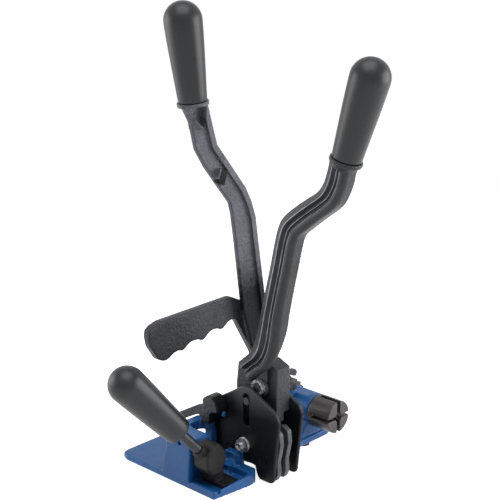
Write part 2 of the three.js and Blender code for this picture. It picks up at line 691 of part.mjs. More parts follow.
// Tension lever: cast web with a rib down its back edge, round tang in the grip
const tensionGripY = -51;
const tensionGripZ = 330.1;
const leverTopDrop = 1.7;       // from the foot of the grip down to the top of the web
const leverDepth = 146;
const leverFrontY = -62.7;
const leverLowZ = 11;
const leverHeight = tensionGripZ - leverTopDrop - leverLowZ;
const leverShares = [
  [0, 0.9899], [0.0527, 0.949, 0.0126], [0.0932, 0.8746, 0.0189], [0.1644, 0.8239, 0.0189],
  [0.2699, 0.764, 0.0189], [0.3705, 0.7086, 0.0252], [0.3911, 0.6727, 0.0189], [0.4171, 0.5983],
  [0.4822, 0.3844], [0.5548, 0.2684, 0.0315], [0.6486, 0.1733, 0.0315], [0.7185, 0.0851, 0.0189],
  [0.7185, 0.041, 0.0252], [0.7719, 0.0095, 0.0252], [0.8541, 0.0006, 0.0252],
  [0.9363, 0.0095, 0.0252], [0.9897, 0.041, 0.0252], [0.9897, 0.0882, 0.0252],
  [0.9363, 0.1229, 0.0252], [0.8404, 0.167, 0.0441], [0.7377, 0.2741, 0.0378], [0.663, 0.3922],
  [0.5945, 0.5803], [0.5692, 0.656, 0.0189], [0.5329, 0.7026, 0.0252], [0.4801, 0.747, 0.0252],
  [0.3171, 0.8396, 0.0189], [0.239, 0.8831, 0.0189], [0.211, 0.9253, 0.0158], [0.1877, 0.9802, 0.0095],
  [0.1596, 1],
];
const ribLineShares = [
  [0.1411, 1], [0.1644, 0.9641], [0.1904, 0.9231], [0.2219, 0.8778], [0.3014, 0.8333], [0.4637, 0.7417],
  [0.5137, 0.6991], [0.5493, 0.6537], [0.574, 0.5791], [0.6425, 0.3907], [0.7089, 0.2678],
];
const ribWidth = 6;
const ribHeight = 3;
const tensionGripTilt = 8.3;
const collarRadius = 13.6;
const collarThickness = 3.5;
const gussetHalf = 6.5;
const gussetTipHalf = 2;
const gussetDrop = 20;
const drivePawlY = 46;          // pivot of the drive pawl
const drivePawlZ = 61;
const drivePawlPinRadius = 3;

function gripDirection(tilt, axis) {
  const angle = THREE.MathUtils.degToRad(tilt);
  return axis === 'y' ? new THREE.Vector3(0, -Math.sin(angle), Math.cos(angle))
    : new THREE.Vector3(Math.sin(angle), 0, Math.cos(angle));
}

function collar(foot, direction) {
  const start = -clearance - collarThickness;
  return turned([[0, start], [collarRadius, start], [collarRadius, -clearance], [0, -clearance]],
    foot, direction);
}

const tensionGripFoot = new THREE.Vector3(leverX, tensionGripY, tensionGripZ);
const tensionGripAxis = gripDirection(tensionGripTilt, 'y');

function tensionLever() {
  const web = prism('x', outline(leverShares, leverFrontY, leverLowZ, leverDepth, leverHeight),
    leverWebX, leverWebX + leverWeb, leverEdge);
  const line = ribLineShares.map(([u, v]) => [leverFrontY + u * leverDepth, leverLowZ + v * leverHeight,
    ribWidth / 2]);
  const rib = prism('x', barShape(line), leverWebX + leverWeb - sink, leverWebX + leverWeb + ribHeight);
  const gussetTop = tensionGripZ - collarThickness;
  const gusset = prism('y', roundedShape([
    [leverX - gussetHalf, gussetTop], [leverX + gussetHalf, gussetTop],
    [leverX + gussetTipHalf, gussetTop - gussetDrop], [leverX - gussetTipHalf, gussetTop - gussetDrop]]),
  tensionGripY - gussetHalf / 2, tensionGripY + gussetHalf / 2);
  const handEnd = join(collar(tensionGripFoot, tensionGripAxis), tang(tensionGripFoot, tensionGripAxis));
  return cut(join(web, rib, gusset, handEnd),
    rod('x', windlassY, windlassZ, boreOf(shaftRadius), leverWebX - overrun, leverWebX + leverWeb + overrun),
    rod('x', drivePawlY, drivePawlZ, boreOf(drivePawlPinRadius),
      leverWebX - overrun, leverWebX + leverWeb + overrun));
}

addPiece('tension_lever', tensionLever(), castGrey());
makeGrip('tension_grip', tensionGripFoot, tensionGripAxis);

// Drive pawl on the lever and holding pawl on the barrel, side by side on the ratchet wheel
const drivePawlThickness = 4.4;
const drivePawlX = leverWebX + leverWeb + clearance;
const drivePawlShares = [
  [0.1042, 0.3333, 0.2778], [0.3333, 0.2778, 0.1667], [0.7292, 0.1556, 0.0556],
  [0.8542, 0.2556, 0.0278], [0.7083, 0.6111, 0.2222], [0.5417, 0.8889, 0.2778],
  [0.1667, 0.9444, 0.2778],
];
const drivePawlLength = 24;
const drivePawlHeight = 18;
const drivePawlBackY = 38;
const drivePawlLowZ = 50;
const holdingPawlThickness = 4;
const holdingPawlX = ratchetStartX + ratchetWidth - holdingPawlThickness;
const holdingPawlShares = [
  [0.0333, 0.1875, 0.25], [0.15, 0.0812, 0.125], [0.3667, 0.4625, 0.125], [0.5, 0.6562, 0.125],
  [0.7, 0.7125, 0.125], [0.8, 0.5562], [0.9167, 0.525], [0.9833, 0.6875, 0.125], [0.9, 0.975, 0.1875],
  [0.5333, 0.9625, 0.3125], [0.2667, 0.8375, 0.3125], [0.0333, 0.75, 0.25],
];
const holdingPawlLength = 30;
const holdingPawlHeight = 16;
const holdingPawlBackY = 42;
const holdingPawlLowZ = 46;
const pinHeadThickness = 2.5;
const drivePinHeadRadius = 5;
const pawlNutRadius = 4.5;
const pawlNutThickness = 3.7;

function pawl(shares, backY, lowZ, length, height, x, thickness, pinY, pinZ, pinRadius) {
  return cut(prism('x', outline(shares, backY, lowZ, length, height), x, x + thickness),
    rod('x', pinY, pinZ, boreOf(pinRadius), x - overrun, x + thickness + overrun));
}

addPiece('drive_pawl', pawl(drivePawlShares, drivePawlBackY, drivePawlLowZ, drivePawlLength, drivePawlHeight,
  drivePawlX, drivePawlThickness, drivePawlY, drivePawlZ, drivePawlPinRadius), steel());
const drivePinX = leverWebX - clearance - pinHeadThickness;
addPiece('drive_pawl_pin', join(
  rod('x', drivePawlY, drivePawlZ, drivePawlPinRadius, drivePinX, drivePawlX + drivePawlThickness),
  rod('x', drivePawlY, drivePawlZ, drivePinHeadRadius, drivePinX, drivePinX + pinHeadThickness)), steel());
addPiece('holding_pawl', pawl(holdingPawlShares, holdingPawlBackY, holdingPawlLowZ, holdingPawlLength,
  holdingPawlHeight, holdingPawlX, holdingPawlThickness, pawlPinY, pawlPinZ, pawlPinRadius), steel());
const pawlPinEndX = pawlLugStartX + pawlLugLength + pawlNutThickness + clearance;
addPiece('holding_pawl_pin', rod('x', pawlPinY, pawlPinZ, pawlPinRadius, holdingPawlX, pawlPinEndX), steel());
addPiece('holding_pawl_nut', cut(
  rod('x', pawlPinY, pawlPinZ, pawlNutRadius, pawlLugStartX + pawlLugLength + clearance, pawlPinEndX),
  rod('x', pawlPinY, pawlPinZ, boreOf(pawlPinRadius), pawlLugStartX, pawlPinEndX + overrun)), zinc());

// Sealing lever
// A cast beam outside the hinge, and a thin foot that turns in front of the head block.
const beamBackY = -16.5;
const beamFrontY = -30;
const beamWidth = 98.1;
const beamHeight = 176;
const beamLeftX = 52.2;
const beamLowZ = 123;
const beamShares = [
  [0.7717, 1], [0.7635, 0.9575, 0.0172], [0.7105, 0.8655, 0.0345], [0.6493, 0.8184, 0.0287],
  [0.3272, 0.6937, 0.0575], [0.2385, 0.6264, 0.046], [0.1896, 0.5328, 0.0345], [0.0306, 0.158],
  [-0.0194, 0.0345, 0.0172], [0.0183, -0.0144, 0.0172], [0.213, -0.0144, 0.0172], [0.2793, 0.1966],
  [0.4077, 0.5362, 0.046], [0.4455, 0.5885, 0.0345], [0.8155, 0.7489, 0.0575], [0.9134, 0.8362, 0.046],
  [0.9592, 0.9218, 0.023], [1, 0.9586],
];
const footShares = [
  [0.5918, 0.9844], [0.4408, 0.9844], [0.3673, 0.7188, 0.0938], [0.2592, 0.5203, 0.0469],
  [0.0163, 0.3547, 0.0312], [0.3449, 0.0813, 0.0312], [0.5367, 0.2688, 0.0469],
  [0.7347, 0.375, 0.0938], [0.8878, 0.5578, 0.0938], [1, 0.9062], [1.0102, 0.9844],
];
const footLeftX = 28;
const footLowZ = 78;
const footWidth = 49;
const footHeight = 64;
const footBackY = -24.3;
const footFrontY = -28;
const railFrontY = -30.7;
const railHalf = 3;
const leftRailShares = [
  [0.1837, 0.3984], [0.3469, 0.5547, 0], [0.4939, 0.9844],
];
const rightRailShares = [
  [0.449, 0.2656], [0.6939, 0.4766], [0.8367, 0.6719], [0.9286, 0.9844],
];
const hubRadius = 8;
const grooveDepth = 3;
const grooveShares = [
  [0.7523, 0.8218], [0.6606, 0.7902], [0.3649, 0.6782], [0.2834, 0.6207], [0.2375, 0.5345],
  [0.0642, 0.1207], [0.1611, 0.1207], [0.212, 0.2356], [0.3344, 0.546], [0.3955, 0.5948],
  [0.7421, 0.7414], [0.8236, 0.8103], [0.8542, 0.8621], [0.7931, 0.8736],
];
const sealGripX = 141;
const sealGripY = -23;
const sealGripZ = 296.8;
const sealGripTilt = 17.8;

const sealGripFoot = new THREE.Vector3(sealGripX, sealGripY, sealGripZ);
const sealGripAxis = gripDirection(sealGripTilt, 'x');

function railLine(shares) {
  return shares.map(([u, v]) => [footLeftX + u * footWidth, footLowZ + v * footHeight, railHalf]);
}

function sealingLever() {
  const beam = prism('y', outline(beamShares, beamLeftX, beamLowZ, beamWidth, beamHeight), beamFrontY,
    beamBackY, beamEdge);
  const groove = prism('y', outline(grooveShares, beamLeftX, beamLowZ, beamWidth, beamHeight),
    beamFrontY - overrun, beamFrontY + grooveDepth);
  const foot = prism('y', outline(footShares, footLeftX, footLowZ, footWidth, footHeight),
    footFrontY, footBackY);
  const hub = rod('y', sealHingeX, sealHingeZ, hubRadius, footFrontY, footBackY, roundSegments);
  const rails = [leftRailShares, rightRailShares].map((shares) => prism('y', barShape(railLine(shares)),
    railFrontY, footBackY - clearance));
  const handEnd = join(collar(sealGripFoot, sealGripAxis), tang(sealGripFoot, sealGripAxis));
  return cut(join(cut(beam, groove), foot, hub, ...rails, handEnd),
    rod('y', sealHingeX, sealHingeZ, boreOf(sealPinRadius), footFrontY - overrun, footBackY + overrun),
    rod('y', sealHingeX, sealHingeZ, boreOf(sealNutRadius), railFrontY - overrun, footFrontY));
}

addPiece('sealing_lever', sealingLever(), castGrey());
makeGrip('sealing_grip', sealGripFoot, sealGripAxis);
const sealNutY = footFrontY - sealNutThickness;
addPiece('sealing_pin', rod('y', sealHingeX, sealHingeZ, sealPinRadius, sealNutY, innerBackY), steel());
addPiece('sealing_nut', ring(sealNutY, sealHingeX, sealHingeZ, sealNutRadius,
  boreOf(sealPinRadius), sealNutThickness - clearance), steel());

// Plunger that the sealing lever drives down between the jaws
const plungerFrontY = innerFrontY;
const plungerDepth = 6;
const plungerHalf = 8;
const plungerLow = 36;
const plungerHigh = 75.3;
const plungerSlotHalf = 4.8;
const plungerSlotLength = 16.5;
const plungerPinRadius = 3.4;
const plungerPinZ = 70.5;

const plungerBackY = plungerFrontY + plungerDepth;
addPiece('plunger', cut(
  box(headX - plungerHalf, headX + plungerHalf, plungerFrontY, plungerBackY, plungerLow, plungerHigh),
  box(studX - plungerSlotHalf, studX + plungerSlotHalf, plungerFrontY - overrun, plungerBackY + overrun,
    plungerLow - overrun, plungerLow + plungerSlotLength),
  rod('y', headX, plungerPinZ, boreOf(plungerPinRadius), plungerFrontY - overrun, plungerBackY + overrun)),
black());
addPiece('plunger_pin', rod('y', headX, plungerPinZ, plungerPinRadius, headFrontY, plungerBackY), zinc());

// Jaws: a front and a rear plate on each side, closing on the seal from below
const jawWidth = 24.5;
const jawHeight = 50.6;
const jawLow = 1.6;
const jawInner = 11.5;
const jawThickness = 5;
const jawFrontY = -30.5;
const jawRearY = -20;
const jawShares = [
  [0.0408, 0, 0.0198], [0.7551, 0, 0.0594], [0.8776, 0.1386, 0.0594], [0.8571, 0.3762, 0.0396],
  [0.9918, 0.6931, 0.0792], [0.9388, 0.9109, 0.0792], [0.6735, 0.9762, 0.0792],
  [0.3878, 0.9307, 0.0792], [0.2653, 0.6931, 0.0792], [0.102, 0.4752, 0.0594], [0.0816, 0.2178],
  [0, 0.099],
];

function jaw(side, y) {
  const points = jawShares.map(([u, v, r]) => [headX + side * (jawInner + u * jawWidth),
    jawLow + v * jawHeight, (r ?? 0) * jawHeight]);
  if (side < 0) points.reverse();
  return cut(prism('y', roundedShape(points), y, y + jawThickness),
    rod('y', headX + side * jawPinX, jawPinZ, boreOf(jawPinRadius), y - overrun, y + jawThickness + overrun));
}

[['jaw_left_front', -1, jawFrontY], ['jaw_left_rear', -1, jawRearY],
  ['jaw_right_front', 1, jawFrontY], ['jaw_right_rear', 1, jawRearY]].forEach(([name, side, y]) => {
  addPiece(name, jaw(side, y), castGrey());
});

// Strap guide on the fork's rear arm: a thin arm with a deep rounded nose
const guideFrontY = -40.8;
const guideThickness = 4.5;
const guideShares = [
  [0, 0.255], [0.04, 0.0567], [0.54, 0.4476], [0.94, 0.4476], [1, 0.5666, 0.0567],
  [0.96, 0.7649, 0.085], [0.66, 0.7649, 0.0567], [0.54, 0.7082, 0.0567],
];
const guideLeftX = -38;
const guideWidth = 50;
const guideLowZ = 27;
const guideHeight = 35.3;
const noseReach = 13.5;
const noseLeftX = 2.6;
const noseWidth = 21.8;
const noseLowZ = 42.8;
const noseHeight = 27.2;
const noseShares = [
  [0, 0], [0.477, 0], [0.569, 0.412, 0.0735], [0.9725, 0.5, 0.0368], [0.9725, 0.64, 0.1471],
  [0.88, 0.83, 0.1471], [0.65, 0.985, 0.1471], [0.39, 1, 0.1471], [0.11, 0.857, 0.1471],
  [0.1, 0.3676, 0.0735],
];

const guideBackY = guideFrontY + guideThickness;
addPiece('strap_guide', join(
  prism('y', outline(guideShares, guideLeftX, guideLowZ, guideWidth, guideHeight), guideFrontY, guideBackY),
  prism('y', outline(noseShares, noseLeftX, noseLowZ, noseWidth, noseHeight),
    guideBackY - noseReach, guideBackY, softEdge)), castGrey());

// Strap gripper: cast cam with a toe over the tray, round rod and grip
const gripperStartX = cheekLeftX + cheekWidth + cheekBossLength + clearance;
const gripperFlange = 11.5;
const gripperWidth = 19;
const gripperShares = [
  [0.5172, 0], [1, 0], [1, 0.0769, 0.0275], [0.8276, 0.2033, 0.1099], [0.7759, 0.6154, 0.1648],
  [0.6897, 0.9176, 0.1648], [0.3448, 1, 0.1648], [0.069, 0.9176, 0.1648], [0, 0.6703, 0.1648],
  [0.1034, 0.4231, 0.1648], [0.3966, 0.2033, 0.1099],
];
const gripperFlangeReach = 11;  // from the hinge forwards
const gripperFrontY = gripperY - gripperFlangeReach;
const gripperLowZ = 3.6;
const gripperDepth = 29;
const gripperHeight = 36.4;
const drumHalf = 11.5;
const drumLowZ = 14.5;
const drumHeight = 29;
const drumShares = [
  [0.3, 0, 0.2], [0.7, 0, 0.2], [1, 0.3, 0.2], [1, 0.68, 0.2], [0.68, 1, 0.2], [0.3, 1, 0.2],
  [0, 0.68, 0.2], [0, 0.3, 0.2],
];
const toeRightX = 56.8;
const toeDepth = 17;
const toeThickness = 4.2;
const rodRadius = 4.5;
const socketRadius = 6.5;
const rodFootX = 36.5;
const rodFootReach = 10.9;      // from the hinge forwards
const rodFootZ = 39.1;
const gripperGripX = 30.2;
const gripperGripReach = 27.6;
const gripperGripZ = 59.3;
const rodSeat = 10;
const rodFoot = new THREE.Vector3(rodFootX, gripperY - rodFootReach, rodFootZ);
const gripperGripFoot = new THREE.Vector3(gripperGripX, gripperY - gripperGripReach, gripperGripZ);
const gripperAxis = gripperGripFoot.clone().sub(rodFoot).normalize();
const gripperPinInset = 3;
const gripperPinEndX = gripperStartX + gripperWidth - gripperPinInset;

function gripperCasting() {
  const cam = prism('x', outline(gripperShares, gripperFrontY, gripperLowZ, gripperDepth, gripperHeight),
    gripperStartX, gripperStartX + gripperFlange, softEdge);
  const drum = prism('x', outline(drumShares, gripperY - drumHalf, drumLowZ, 2 * drumHalf, drumHeight),
    gripperStartX + softEdge, gripperStartX + gripperWidth, beamEdge);
  const toeBackY = gripperFrontY + gripperDepth - clearance;
  const toe = box(gripperStartX, toeRightX, toeBackY - toeDepth, toeBackY,
    gripperLowZ, gripperLowZ + toeThickness);
  const shank = box(gripperStartX, gripperStartX + gripperWidth - sink, gripperY, gripperY + drumHalf - sink,
    gripperLowZ + sink, drumLowZ + sink);
  return cut(join(cam, drum, toe, shank),
    rod('x', gripperY, gripperZ, boreOf(gripperPinRadius),
      gripperStartX - overrun, gripperPinEndX + clearance));
}

function gripperRod() {
  const length = gripperGripFoot.distanceTo(rodFoot) + gripBoreDepth / 2;
  return turned([[0, 0], [rodRadius, 0], [rodRadius, length], [0, length]],
    rodFoot, gripperAxis, tangSegments);
}

function gripperSocket() {
  return turned([[0, -rodSeat], [socketRadius, -rodSeat], [socketRadius, -clearance], [0, -clearance]],
    rodFoot, gripperAxis, tangSegments);
}

addPiece('gripper_casting', join(gripperCasting(), gripperSocket()), castGrey());
addPiece('gripper_rod', gripperRod(), steel());
makeGrip('gripper_grip', gripperGripFoot, gripperAxis);
addPiece('gripper_pin', rod('x', gripperY, gripperZ, gripperPinRadius,
  cheekLeftX + gripperPinFloor + clearance, gripperPinEndX), steel());

export default tool;
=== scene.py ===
# A hand strapping tool on a white table. The ratchet lever and slotted windlass stand behind, the
# sealing lever and its jaws in front, and the strap gripper leans over the near end of the base.
import math
import bpy
import bmesh
from mathutils import Matrix, Vector, noise


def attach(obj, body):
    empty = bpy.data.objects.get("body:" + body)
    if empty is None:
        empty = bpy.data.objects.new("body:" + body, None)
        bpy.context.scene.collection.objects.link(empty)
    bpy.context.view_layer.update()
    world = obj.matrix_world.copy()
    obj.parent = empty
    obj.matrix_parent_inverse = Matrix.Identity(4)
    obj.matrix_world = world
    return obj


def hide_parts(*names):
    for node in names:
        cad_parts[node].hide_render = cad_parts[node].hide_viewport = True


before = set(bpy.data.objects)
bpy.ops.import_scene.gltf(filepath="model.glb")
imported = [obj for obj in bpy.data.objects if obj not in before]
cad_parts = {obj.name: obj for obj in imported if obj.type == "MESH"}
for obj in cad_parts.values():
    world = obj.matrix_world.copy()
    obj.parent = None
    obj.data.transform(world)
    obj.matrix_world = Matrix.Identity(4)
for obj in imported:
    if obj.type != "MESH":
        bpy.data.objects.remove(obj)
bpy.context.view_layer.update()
scene = bpy.context.scene
mm = 0.001

# Camera
# A long lens from the front right, at about the height of the upper grips. It looks slightly
# down, so the base shows its top and the windlass its slotted end.
camera_data = bpy.data.cameras.new("camera")
camera_data.lens = 82.8
camera_data.sensor_width = 36.0
camera_data.clip_end = 60.0
camera = bpy.data.objects.new("camera", camera_data)
scene.collection.objects.link(camera)
camera_right = Vector((0.72822, 0.68535, 0.0))
camera_up = Vector((-0.18576, 0.19737, 0.96257))
camera_back = Vector((0.65970, -0.70096, 0.27104))
camera_place = (0.6857, -0.7108, 0.4695)
camera.matrix_world = Matrix.Translation(camera_place) @ Matrix(
    (camera_right, camera_up, camera_back)).transposed().to_4x4()
scene.camera = camera

# Table and studio light
# A wide white table in a white room, so the tool has no horizon behind it and only a soft shadow.
# One large soft box overhead gives the sheen on top, two at the sides draw the edges.
scene.view_settings.view_transform = "Standard"


def linear(code):
    """The linear colour of an sRGB hex value."""
    parts = [int(code[i:i + 2], 16) / 255 for i in (1, 3, 5)]
    return [c / 12.92 if c <= 0.04045 else ((c + 0.055) / 1.055) ** 2.4 for c in parts] + [1.0]


def add_node(tree, kind, settings=(), inputs=(), links=()):
    """One more node: its settings, its input values, and its links as (input, socket)."""
    node = tree.nodes.new(kind)
    for name, value in dict(settings).items():
        setattr(node, name, value)
    for name, value in dict(inputs).items():
        node.inputs[name].default_value = value
    for name, socket in dict(links).items():
        tree.links.new(socket, node.inputs[name])
    return node


def seen_directly(tree):
    """1 for rays from the camera, off a mirror or through glass, else 0."""
    path = add_node(tree, "ShaderNodeLightPath")
    gloss = add_node(tree, "ShaderNodeMath", {"operation": "MAXIMUM"},
                     links={0: path.outputs["Is Camera Ray"], 1: path.outputs["Is Glossy Ray"]})
    return add_node(tree, "ShaderNodeMath", {"operation": "MAXIMUM"},
                    links={0: gloss.outputs[0], 1: path.outputs["Is Transmission Ray"]}).outputs[0]


room_strength = 0.22
white_strength = 1.0
world = bpy.data.worlds.new("white room")
scene.world = world
world.use_nodes = True
room = world.node_tree
room.nodes.clear()
room_out = add_node(room, "ShaderNodeOutputWorld")
room_level = add_node(room, "ShaderNodeMapRange",
                      inputs={"To Min": room_strength, "To Max": white_strength},
                      links={"Value": seen_directly(room)})
room_light = add_node(room, "ShaderNodeBackground", inputs={"Color": (1, 1, 1, 1)},
                      links={"Strength": room_level.outputs["Result"]})
room.links.new(room_light.outputs["Background"], room_out.inputs["Surface"])

table_size = 1.1
table_drop = 0.2 * mm
paper_glow = 0.8
# Gives the eye an even white that only the soft shadow under the tool breaks.
paper = bpy.data.materials.new("white table paper")
paper.use_nodes = True
tree = paper.node_tree
tree.nodes.clear()
paper_out = add_node(tree, "ShaderNodeOutputMaterial")
paper_lit = add_node(tree, "ShaderNodeBsdfDiffuse", inputs={"Color": (0.86, 0.86, 0.86, 1)})
paper_level = add_node(tree, "ShaderNodeMath", {"operation": "MULTIPLY"}, {1: paper_glow},
                       {0: seen_directly(tree)})
paper_bright = add_node(tree, "ShaderNodeEmission", inputs={"Color": (1, 1, 1, 1)},
                        links={"Strength": paper_level.outputs[0]})
paper_sum = add_node(tree, "ShaderNodeAddShader",
                     links={0: paper_lit.outputs["BSDF"], 1: paper_bright.outputs["Emission"]})
tree.links.new(paper_sum.outputs["Shader"], paper_out.inputs["Surface"])


def mesh_from(bm, name):
    """The mesh of a finished bmesh, which is freed."""
    mesh = bpy.data.meshes.new(name)
    bm.to_mesh(mesh)
    bm.free()
    return mesh


bm = bmesh.new()
bmesh.ops.create_grid(bm, x_segments=1, y_segments=1, size=table_size)
bmesh.ops.translate(bm, verts=bm.verts, vec=(0, 0, -table_drop))
table_mesh = mesh_from(bm, "table")
table = bpy.data.objects.new("table", table_mesh)
scene.collection.objects.link(table)
table_mesh.materials.append(paper)


def soft_box(name, place, target, size, watts):
    """A square soft box that faces its target."""
    lamp = bpy.data.lights.new(name, "AREA")
    lamp.size = size
    lamp.energy = watts
    lamp_object = bpy.data.objects.new(name, lamp)
    scene.collection.objects.link(lamp_object)
    lamp_object.location = place
    lamp_object.rotation_euler = (Vector(target) - Vector(place)).to_track_quat("-Z", "Y").to_euler()


soft_box("overhead soft box", (0.25, -0.3, 1.5), (0, 0, 0.1), 1.2, 13)
soft_box("left soft box", (-1.15, -0.75, 0.25), (0, 0, 0.2), 1.1, 11)
soft_box("right soft box", (1.0, 0.8, 0.25), (0, 0, 0.2), 1.1, 17)


# Base casting
# One sand casting with plate, post, fork, spine, barrel and rear foot, fettled at the edges and
# sprayed with thick blue enamel. The paint rounds every corner and wears thin on the ridges.
def surface(name, colour, dark, worn, metallic, roughness, grain_mm, bump_mm, drift_mm=14.0, drift=0.6,
            wear=0.5, wear_mm=0.6, shine=0.5, painted_shade_below=None):
    """A finish with a fine grain. Its colour drifts to a darker one and turns to worn on edges.

    The last argument paints the piece darker towards the bottom as painted shade: its dark colour, the
    heights in mm where the painted shade is full and where it ends, and how far its edge strays.
    """
    colour_a, colour_b, colour_out = 6, 7, 2  # the colour sockets of a mix node
    shine_in_shade = 0.2
    material = bpy.data.materials.new(name)
    material.use_nodes = True
    tree = material.node_tree
    tree.nodes.clear()
    out = add_node(tree, "ShaderNodeOutputMaterial")
    place = add_node(tree, "ShaderNodeTexCoord").outputs["Object"]
    cloud = add_node(tree, "ShaderNodeTexNoise", inputs={"Scale": 1 / (drift_mm * mm), "Detail": 3.0},
                     links={"Vector": place})
    grain = add_node(tree, "ShaderNodeTexNoise",
                     inputs={"Scale": 1 / (grain_mm * mm), "Detail": 4.0, "Roughness": 0.6},
                     links={"Vector": place})
    blend = add_node(tree, "ShaderNodeMapRange",
                     inputs={"From Min": 0.35, "From Max": 0.7, "To Min": 0.0, "To Max": drift},
                     links={"Value": cloud.outputs["Fac"]})
    tint = add_node(tree, "ShaderNodeMix", {"data_type": "RGBA"},
                    links={"Factor": blend.outputs["Result"]})
    tint.inputs[colour_a].default_value = linear(colour)
    tint.inputs[colour_b].default_value = linear(dark)
    facing = add_node(tree, "ShaderNodeNewGeometry")
    rounded = add_node(tree, "ShaderNodeBevel", {"samples": 6}, {"Radius": wear_mm * mm})
    turned_away = add_node(tree, "ShaderNodeVectorMath", {"operation": "DOT_PRODUCT"},
                           links={0: facing.outputs["Normal"], 1: rounded.outputs["Normal"]})
    edge = add_node(tree, "ShaderNodeMapRange",
                    inputs={"From Min": 0.99, "From Max": 0.85, "To Min": 0.0, "To Max": wear},
                    links={"Value": turned_away.outputs["Value"]})
    scuffed = add_node(tree, "ShaderNodeMath", {"operation": "MULTIPLY"},
                       links={0: edge.outputs["Result"], 1: grain.outputs["Fac"]})
    paint = add_node(tree, "ShaderNodeMix", {"data_type": "RGBA"}, links={"Factor": scuffed.outputs[0]})
    tree.links.new(tint.outputs[colour_out], paint.inputs[colour_a])
    paint.inputs[colour_b].default_value = linear(worn)
    skin = paint.outputs[colour_out]
    level = add_node(tree, "ShaderNodeMapRange",
                     inputs={"Value": 0.0, "To Min": shine, "To Max": shine * shine_in_shade})
    # Painted shade: below the given heights the colour turns dark and the shine dulls.
    if painted_shade_below:
        shade_colour, full_shade_mm, end_mm, stray_mm = painted_shade_below
        height = add_node(tree, "ShaderNodeSeparateXYZ", links={"Vector": place}).outputs["Z"]
        ragged = add_node(tree, "ShaderNodeMath", {"operation": "MULTIPLY_ADD"}, {1: stray_mm * mm},
                          {0: grain.outputs["Fac"]})
        tree.links.new(height, ragged.inputs[2])
        shade_share = add_node(tree, "ShaderNodeMapRange",
                        inputs={"From Min": (full_shade_mm + stray_mm / 2) * mm,
                                "From Max": (end_mm + stray_mm / 2) * mm, "To Min": 0.95, "To Max": 0.0},
                        links={"Value": ragged.outputs[0]})
        shade_mix = add_node(tree, "ShaderNodeMix", {"data_type": "RGBA"},
                          links={"Factor": shade_share.outputs["Result"]})
        tree.links.new(skin, shade_mix.inputs[colour_a])
        shade_mix.inputs[colour_b].default_value = linear(shade_colour)
        skin = shade_mix.outputs[colour_out]
        tree.links.new(shade_share.outputs["Result"], level.inputs["Value"])
    gloss = add_node(tree, "ShaderNodeMapRange",
                     inputs={"From Min": 0.3, "From Max": 0.7,
                             "To Min": roughness - 0.06, "To Max": roughness + 0.08},
                     links={"Value": grain.outputs["Fac"]})
    relief = add_node(tree, "ShaderNodeBump", inputs={"Strength": 0.7, "Distance": bump_mm * mm},
                      links={"Height": grain.outputs["Fac"]})
    shader = add_node(tree, "ShaderNodeBsdfPrincipled", inputs={"Metallic": metallic},
                      links={"Base Color": skin, "Roughness": gloss.outputs["Result"],
                             "Specular IOR Level": level.outputs["Result"],
                             "Normal": relief.outputs["Normal"]})
    tree.links.new(shader.outputs["BSDF"], out.inputs["Surface"])
    return material


def skinned(bm, voxel_mm, passes):
    """One continuous mesh from overlapping forms, with edges and inner corners worn round."""
    rough = bpy.data.meshes.new("rough")
    bm.to_mesh(rough)
    bm.free()
    blank = bpy.data.objects.new("blank", rough)
    scene.collection.objects.link(blank)
    skin = blank.modifiers.new("skin", "REMESH")
    skin.mode = "VOXEL"
    skin.voxel_size = voxel_mm * mm
    fettle = blank.modifiers.new("fettle", "SMOOTH")
    fettle.factor = 0.5
    fettle.iterations = passes
    graph = bpy.context.evaluated_depsgraph_get()
    mesh = bpy.data.meshes.new_from_object(blank.evaluated_get(graph))
    bpy.data.objects.remove(blank)
    bpy.data.meshes.remove(rough)
    return mesh


def cad_form(node):
    """The form of a CAD node, with the corners of its triangles joined."""
    bm = bmesh.new()
    bm.from_mesh(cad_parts[node].data)
    bmesh.ops.remove_doubles(bm, verts=bm.verts, dist=0.005 * mm)
    return bm


def cast_skin(node, voxel_mm, passes):
    """The form of a CAD node as a casting: no edge stays sharp."""
    return skinned(cad_form(node), voxel_mm, passes)


def finished(name, mesh, material, body, slot, *nodes):
    """A piece of the tool from its mesh, riding on a body in place of CAD nodes."""
    for polygon in mesh.polygons:
        polygon.use_smooth = True
    mesh.materials.clear()
    mesh.materials.append(material)
    piece = bpy.data.objects.new(name, mesh)
    scene.collection.objects.link(piece)
    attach(piece, body)
    if nodes:
        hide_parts(*nodes)
    return piece


# Gives the eye a clear blue with a soft whitish sheen on its top faces and paler ridges.
blue_enamel = surface("blue enamel sprayed on a sand casting", "#1B5C98", "#114786", "#4C84BC",
                      0.0, 0.36, 2.2, 0.12, drift=0.6, wear=0.7, shine=0.35)
finished("base", cast_skin("base_casting", 0.8, 3), blue_enamel, "frame", "blue_paint", "base_casting")


# Foot pads
# Two discs of moulded rubber, pressed under the rear foot of the casting. They keep the tool from
# sliding on a bench.
def dressed(material, *nodes):
    """Gives a finish to CAD nodes that stay as they are."""
    for node in nodes:
        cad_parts[node].material_slots[0].material = material


# Gives the eye a flat black with no shine.
pad_rubber = surface("moulded black rubber", "#1A1A1B", "#131314", "#2A2A2B", 0.0, 0.7, 0.8, 0.03)
dressed(pad_rubber, "foot_pad_right", "foot_pad_left")

# Side plates, anvil, jaw pins and plunger
# Punched from steel plate, tumbled, then chemically blackened and oiled. Bolts through the
# tongue of the base hold the two plates a finger's width apart.
# Gives the eye near black with greyer rims, and a painted sheen: the colour is painted grey at the
# top and darkens down the plate to near black.
blackened_steel_painted_sheen = surface("blackened and oiled steel plate with painted sheen", "#4C4E53", "#3C3E43", "#54575D",
                          0.0, 0.34, 1.4, 0.0, drift=0.5, wear=0.6, wear_mm=0.7, shine=0.45,
                          painted_shade_below=("#0B0D0F", 58, 98, 4))
for node, name in (("near_side_plate", "near_cheek_plate"), ("far_side_plate", "far_cheek_plate")):
    finished(name, cast_skin(node, 0.6, 2), blackened_steel_painted_sheen, "frame", "blackened_plate", node)
dressed(blackened_steel_painted_sheen, "anvil", "jaw_pin_left", "jaw_pin_right", "plunger")

